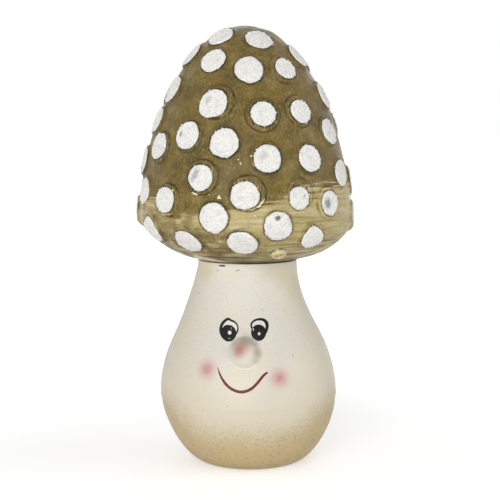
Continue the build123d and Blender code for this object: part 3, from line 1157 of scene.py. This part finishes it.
# Painted shadow round the nose, grey-brown airbrush on its top and painted shade on its right side:
# (right, up, out) and its reach in millimetres, and how dense it is
NOSE_SHADOWS = [
    ((0.6, 5.2, 2.4), 8.0, 0.75), ((-4.6, 4.0, 2.2), 4.5, 0.45), ((4.6, 3.4, 2.4), 4.8, 0.58),
    ((5.9, -0.4, 1.6), 4.8, 0.74), ((5.6, -3.4, 1.2), 3.4, 0.40),
]


def on_nose(offset):
    """Where a point (right, up, out) from the nose's middle lies, in millimetres."""
    return lay_on_stem(NOSE_MIDDLE + Vector(offset) * MM)


shadow = 0.0
for offset, reach, strength in NOSE_SHADOWS:
    shadow = math_of("MAXIMUM", times(near_point(on_nose(offset), 0, reach * MM), strength), shadow)
lay(NOSE_SHADOW, times(shadow, puff))
# Painted highlight on the lower middle of the nose
lay(NOSE_PAINTED_HIGHLIGHT, near_point(on_nose((-0.4, -3.4, 3.8)), 0.5 * MM, 5.0 * MM), 0.6)
lay(NOSE_PINK, near_point(on_nose((-2.0, 0.3, 4.4)), 0, 6.4 * MM), 0.9)
fill(shader, Roughness=step(cloud(0.006, 4), 0.3, 0.7, 0.44, 0.60))
raise_grain(cloud(0.0009, 3), 0.05 * MM)
give_to(stem_piece, nose_piece)


# %% Slip under the nose
def wavering_finish(name, roughness, size, detail, first, second):
    """A finish whose tint wavers between two."""
    new_finish(name, roughness)
    fill(shader, Base_Color=mix(cloud(size, detail), first, second))


wavering_finish("nose_slip_cream", 0.48, 0.003, 3, (0.76, 0.69, 0.53, 1), (0.83, 0.77, 0.64, 1))
give_to(roll_piece)

# %% [markdown]
# ## Face paint
# Enamel brushed on over the glaze: black for the eye lines, cream white for the eyes and their lights,
# red-brown for the mouth. One even tint would look printed. Each coat is a little thinner where the
# brush dragged, so noise makes the tint and the gloss waver.

# %% Make the face paint
DULL = 0.2
SHINY = 0.5


def brushed_paint(name, full, thin, roughness, specular):
    """Brushed enamel that wavers between a full and a thin coat."""
    new_finish(name, roughness, specular)
    dragged = step(cloud(0.0014, 4, (1, 1, 0.5)), 0.40, 0.72)
    gloss = step(cloud(0.002, 3), 0.3, 0.7, roughness - 0.06, roughness + 0.10)
    fill(shader, Base_Color=mix(dragged, full, thin), Roughness=gloss)
    raise_grain(cloud(0.0006, 2), 0.02 * MM)


brushed_paint("eye_black_paint", (0.004, 0.004, 0.004, 1), (0.014, 0.013, 0.012, 1), 0.40, DULL)
give_to(line_piece)
brushed_paint("eye_white_paint", (0.76, 0.74, 0.70, 1), (0.68, 0.66, 0.63, 1), 0.45, SHINY)
give_to(white_piece, light_piece)
brushed_paint("mouth_red_paint", (0.150, 0.025, 0.021, 1), (0.23, 0.048, 0.040, 1), 0.42, DULL)
give_to(mouth_piece)

# %% [markdown]
# ## Olive cap glaze
# The cap was brushed with olive brown that breaks into amber and dark patches, with the brush marks
# left in. Patches of noise alone would look like stone, so a noise stretched upwards adds the marks.
# Little of the room mirrors in this glaze, so its specular level is low.

# %% Brush on the olive
OLIVE = (0.160, 0.112, 0.027, 1)
LIGHT_OLIVE = (0.265, 0.195, 0.064, 1)
DEEP_OLIVE = (0.090, 0.064, 0.019, 1)
AMBER = (0.240, 0.148, 0.030, 1)
RUBBED_AND_HIGHLIGHT = (0.42, 0.34, 0.15, 1)
CROWN_PAINTED_SHADE = (0.150, 0.142, 0.115, 1)

new_finish("cap_glaze_olive", 0.40, DULL)
at_x, at_y, at_z = axes()
mottle = cloud(0.010, 6, roughness=0.66)
brushed = cloud(0.0009, 4, (1, 1, 0.22))
light_marks = step(brushed, 0.54, 0.72)
flecks = cloud(0.0010, 3)
fill(shader, Base_Color=mix(step(mottle, 0.32, 0.52), DEEP_OLIVE, OLIVE))
lay(LIGHT_OLIVE, step(mottle, 0.50, 0.70))
lay(AMBER, step(cloud(0.012, 5), 0.50, 0.68), 0.45)
lay(LIGHT_OLIVE, light_marks, 0.50)
lay(DEEP_OLIVE, step(brushed, 0.46, 0.30), 0.60)
lay(RUBBED_AND_HIGHLIGHT, step(flecks, 0.55, 0.72), 0.45)
lay(DEEP_OLIVE, step(flecks, 0.45, 0.30), 0.55)
# Painted shade: a grey tint darkens the top of the crown
lay(CROWN_PAINTED_SHADE, step(at_z, 0.212, 0.2195), 0.45)

# %% [markdown]
# ## The straw coat
# A pale straw-gold coat was dragged round the lower third with a dry brush, so its upper edge breaks
# into level streaks: the nearer to the edge, the fewer of the streaks still hold paint. A blend by
# height would only give a soft band. So the depth below the edge is added to a noise drawn out
# sideways, and a step cuts the sum. Lower down, and on the left, the coat is worn.

# %% Find where the coat holds
COAT_TOP = 0.1342
COAT_SLOPE = 0.20
COAT_WAVER = 0.014
LEFT_RISE = 0.012
DRYNESS = 60
FULL_COAT = 0.92

streaks = cloud(0.0012, 4, (0.06, 0.06, 1.0))
waver = cloud(0.013, 6, (0.8, 0.8, 1.0), 0.65)
edge = plus(times(at_x, COAT_SLOPE), times(waver, COAT_WAVER))
edge = plus(edge, COAT_TOP - COAT_WAVER / 2)
edge = plus(edge, step(at_x, -0.035, -0.047, 0.0, LEFT_RISE))
depth = minus(edge, at_z)
coat = step(plus(streaks, times(depth, DRYNESS)), 0.42, 0.64)
low_down = times(step(at_z, 0.130, 0.114), step(at_x, 0.000, 0.008, 1.0, 0.3))
left_side = step(at_x, 0.000, -0.030, 0.0, 0.8)
worn = step(cloud(0.0075, 6), 0.46, 0.62, 0.0, 0.75)
worn = times(worn, math_of("MAXIMUM", low_down, left_side))
coat = times(coat, minus(FULL_COAT, worn))
bare = times(step(at_z, 0.1235, 0.1185), step(at_x, 0.014, -0.006))
blots = step(cloud(0.0065, 5), 0.42, 0.58, 0.9, 0.10)
coat = times(coat, minus(1.0, times(bare, blots)))

# %% Drag on the straw
STRAW = (0.520, 0.425, 0.192, 1)
PALE_STRAW = (0.640, 0.562, 0.328, 1)
DULL_STRAW = (0.355, 0.283, 0.118, 1)

straw = mix(step(streaks, 0.50, 0.70), STRAW, PALE_STRAW)
straw = mix(step(streaks, 0.47, 0.34), straw, DULL_STRAW)
straw = mix(step(flecks, 0.52, 0.68, 0.0, 0.45), straw, LIGHT_OLIVE)
lay(straw, coat)
under_rim = step(at_z, 0.119, 0.113, 0.0, 0.85)
lay(STRAW, times(step(streaks, 0.54, 0.64), under_rim), 0.7)
lay(DEEP_OLIVE, times(step(streaks, 0.49, 0.38), under_rim))
# Painted shade: darker olive towards the land, under the cap
lay(DEEP_OLIVE, step(at_z, LAND_HEIGHT + 4 * MM, LAND_HEIGHT + 0.5 * MM), 0.7)

# %% Let cream run over the lip on the left
RUN_SLOPE = 0.23
run = step(plus(at_z, times(at_x, RUN_SLOPE)), 0.1026, 0.1020)
run = times(run, step(at_x, -0.0275, -0.0250))
run = times(run, step(at_y, 0.0, -0.004))
lay(LOW_CREAM, run)

# %% [markdown]
# ## Dark lines and gloss
# A dark wash stayed in the line round each pad and, where a button shows, at its foot, and these lines
# are also painted shade in the creases. Ambient occlusion could darken such creases, but all alike.
# These are drawn from the distances that the points carry, and noise makes them wider, thinner or
# broken. The bump takes the upright marks above the coat's edge and the level ones below it.

# %% Draw the dark lines
DARK_WASH_AND_SHADE = (0.026, 0.018, 0.007, 1)
foot_gap = attribute_of("from_foot")
width = step(cloud(0.0042, 3), 0.34, 0.66, 0.20 * MM, 1.20 * MM)
# The line round each pad: dark wash and painted shade in the crease
pad_wash_and_shade = mix(times(coat, 0.75), DARK_WASH_AND_SHADE, OLIVE)
lay(pad_wash_and_shade, step(attribute_of("from_pad"), width, 0.0), 0.92)
# The line at a button's foot: dark wash and painted shade, darker where the crease is deeper
smudged = times(cloud(0.0025, 3), 0.8 * MM)
off_line = math_of("ABSOLUTE", plus(foot_gap, smudged))
foot_line = times(step(off_line, 0.75 * MM, 0.10 * MM), attribute_of("crease"))
broken = step(cloud(0.005, 3), 0.40, 0.60, 0.12, 1.0)
lay(DARK_WASH_AND_SHADE, times(foot_line, broken))
# Painted highlight: the brush marks on the buttons' tops and shoulders are lightened where light catches
# them
on_button = step(foot_gap, -0.4 * MM, -1.0 * MM)
lay(RUBBED_AND_HIGHLIGHT, times(on_button, light_marks), 0.7)

# %% Gloss and brush marks
fill(shader, Roughness=step(cloud(0.004, 4), 0.3, 0.7, 0.32, 0.52))
marks = times(mix(coat, brushed, streaks), 0.7)
raise_grain(plus(marks, cloud(0.0022, 4)), 0.16 * MM)
give_to(cap_piece, *button_pieces)

# %% Make the bare button's straw
new_finish("bare_knob_straw", 0.42)
fill(shader, Base_Color=mix(step(cloud(0.0008, 3), 0.35, 0.60), STRAW, PALE_STRAW))
# Olive in the dimple's ring and a dark line at the foot: partly wash and partly painted shade in these
# creases
lay(OLIVE, step(attribute_of("from_ring"), 0.55 * MM, 0.0), 0.7)
foot_wash_and_shade = step(math_of("ABSOLUTE", attribute_of("from_foot")), 0.60 * MM, 0.15 * MM)
broken = step(cloud(0.004, 3), 0.40, 0.60, 0.25, 0.9)
lay(DARK_WASH_AND_SHADE, times(foot_wash_and_shade, broken))
raise_grain(cloud(0.0012, 3), 0.05 * MM)
give_to(bare_piece)

# %% Painted glints and wash by themselves
wavering_finish("painted_glint_gold", 0.25, 0.001, 2, (0.70, 0.62, 0.36, 1), (0.92, 0.88, 0.66, 1))
give_to(glint_piece)
wavering_finish("dark_wash", 0.45, 0.001, 2, DARK_WASH_AND_SHADE, DEEP_OLIVE)
give_to(speck_piece, stray_piece)

# %% [markdown]
# ## White glitter
# Coarse white grains, some clearer than others. Noise alone would run on from grain to grain. So each
# point carries its own shade, with a grey stain on the pads that got smudged, and noise only adds soft
# patches.

# %% Make the glitter
GRAIN_WHITE = (0.865, 0.85, 0.80, 1)
GRAIN_CLEAR = (0.66, 0.655, 0.645, 1)
GRAIN_STAIN = (0.165, 0.160, 0.130, 1)
GRAIN_CREAM = (0.86, 0.83, 0.72, 1)

new_finish("white_glitter_grains", 0.42)
shade = attribute_of("shade")
fill(shader, Base_Color=mix(step(shade, 0.10, 0.36), GRAIN_WHITE, GRAIN_CLEAR))
lay(GRAIN_CLEAR, step(cloud(0.0026, 4), 0.50, 0.68), 0.7)
lay(GRAIN_CREAM, step(cloud(0.003, 3), 0.58, 0.75), 0.5)
lay(GRAIN_STAIN, step(shade, 0.40, 1.5))
fill(shader, Roughness=step(cloud(0.0007, 2), 0.35, 0.65, 0.22, 0.60))
give_to(*pad_pieces)

# %% [markdown]
# ## Dark felt
# Brown wool felt, matt, with short fibres that lie every way. A weave would show threads, so a fine
# noise stands for the fibres, in the tint and in the bump. Olive glaze was smeared over the edge on
# the left, so the dark line shows best from the middle on.

# %% Make the felt
new_finish("brown_felt", 0.95)
fibres = cloud(0.0006, 5)
# The felt's dark tint also stands for the shade in the gap at the seat: its edge is partly painted shade
fill(shader, Base_Color=mix(fibres, (0.045, 0.034, 0.018, 1), (0.120, 0.096, 0.052, 1)))
lay(LIGHT_OLIVE, step(axes()[0], -0.002, -0.008), 0.8)
raise_grain(fibres, 0.2 * MM)
give_to(ring_piece)

# %% [markdown]
# ## Floor and light
# The ornament stands on a plain white table against white. More light would whiten both, but it would
# bleach the cream too. So the floor is a single large plane that fades to pure white for the camera,
# and still takes the soft shadow. Five large soft lamps, most of the light from the front, give about
# the level at which a colour renders as it is written.

# %% Lay the floor
floor_mesh = bmesh.new()
bmesh.ops.create_grid(floor_mesh, x_segments=2, y_segments=2, size=6)
floor_data = bpy.data.meshes.new("white_table")
floor_mesh.to_mesh(floor_data)
floor_mesh.free()
floor = bpy.data.objects.new("white_table", floor_data)
bpy.context.collection.objects.link(floor)


# %% Whiten the floor for the camera
def seen_by_camera():
    """1 for rays from the camera, also by way of gloss or glass."""
    rays = add_node("LightPath").outputs
    seen = math_of("MAXIMUM", rays["Is Camera Ray"], rays["Is Glossy Ray"])
    return math_of("MAXIMUM", seen, rays["Is Transmission Ray"])


def join_shaders(kind, first, second, output):
    """Joins two shaders in a node that leads to the output."""
    joint = add_node(kind)
    tree.links.new(first.outputs[0], joint.inputs[-2])
    tree.links.new(second.outputs[0], joint.inputs[-1])
    tree.links.new(joint.outputs[0], tree.nodes[output].inputs["Surface"])
    return joint


FLOOR_GREY = (0.90, 0.90, 0.90, 1)
NEAR_GLOW = 0.45
new_finish("white_table_top", 0.8)
fill(shader, Base_Color=FLOOR_GREY)
out_there = minus(1.0, near_point((0, 0, 0), 0.10, 0.45))
level = plus(times(out_there, 1 - NEAR_GLOW), NEAR_GLOW)
glow = add_node("Emission", Color=WHITE, Strength=times(level, seen_by_camera()))
join_shaders("AddShader", shader, glow, "Material Output")
give_to(floor)

# %% Set the white surroundings
AMBIENT = 0.29
world = bpy.data.worlds.new("white_room")
bpy.context.scene.world = world
world.use_nodes = True
tree = world.node_tree
sky = fill(tree.nodes["Background"], Color=WHITE, Strength=AMBIENT)
white_sky = add_node("Background", Color=WHITE)
either = join_shaders("MixShader", sky, white_sky, "World Output")
fill(either, Fac=seen_by_camera())


# %% Hang the lamps
def hang(name, data, place, aim):
    """Places a lamp or the camera so that it looks at a point."""
    holder = bpy.data.objects.new(name, data)
    holder.location = place
    holder.rotation_euler = (aim - Vector(place)).to_track_quat("-Z", "Y").to_euler()
    bpy.context.collection.objects.link(holder)
    return holder


MIDDLE = Vector((0, 0, 0.11))
# Each lamp is its name, place, size in metres and power in watts
LAMPS = [
    ("front_lamp", (-0.35, -1.52, 0.40), 0.9, 16.3),
    ("top_lamp", (0.0, -0.3, 1.4), 1.0, 1.0),
    ("right_lamp", (1.45, -0.15, 0.45), 0.9, 4.8),
    ("left_lamp", (-1.45, -0.15, 0.45), 0.9, 0.9),
    ("back_lamp", (0.2, 1.55, 0.50), 1.4, 4.0),
]
for name, place, size, power in LAMPS:
    lamp = bpy.data.lights.new(name, "AREA")
    lamp.size = size
    lamp.energy = power
    hang(name, lamp, place, MIDDLE)
print("lamps:", len(LAMPS))

# %% [markdown]
# ## Camera
# The photograph was taken from a little above the middle, at about six degrees, with a long lens. A
# short lens close by would bend the rim of the cap more. No shift is needed: the camera aims at the
# point that lies in the middle of the picture.

# %% Set the camera
CAMERA_AIM = Vector((1.27 * MM, 0, 107.5 * MM))
CAMERA_DISTANCE = 0.75
CAMERA_ELEVATION = math.radians(6)
camera = bpy.data.cameras.new("camera")
camera.sensor_width = 36
camera.lens = 106.7
towards = Vector((0, -math.cos(CAMERA_ELEVATION), math.sin(CAMERA_ELEVATION)))
bpy.context.scene.camera = hang("camera", camera, CAMERA_AIM + towards * CAMERA_DISTANCE, CAMERA_AIM)
bpy.context.scene.view_settings.view_transform = "Standard"
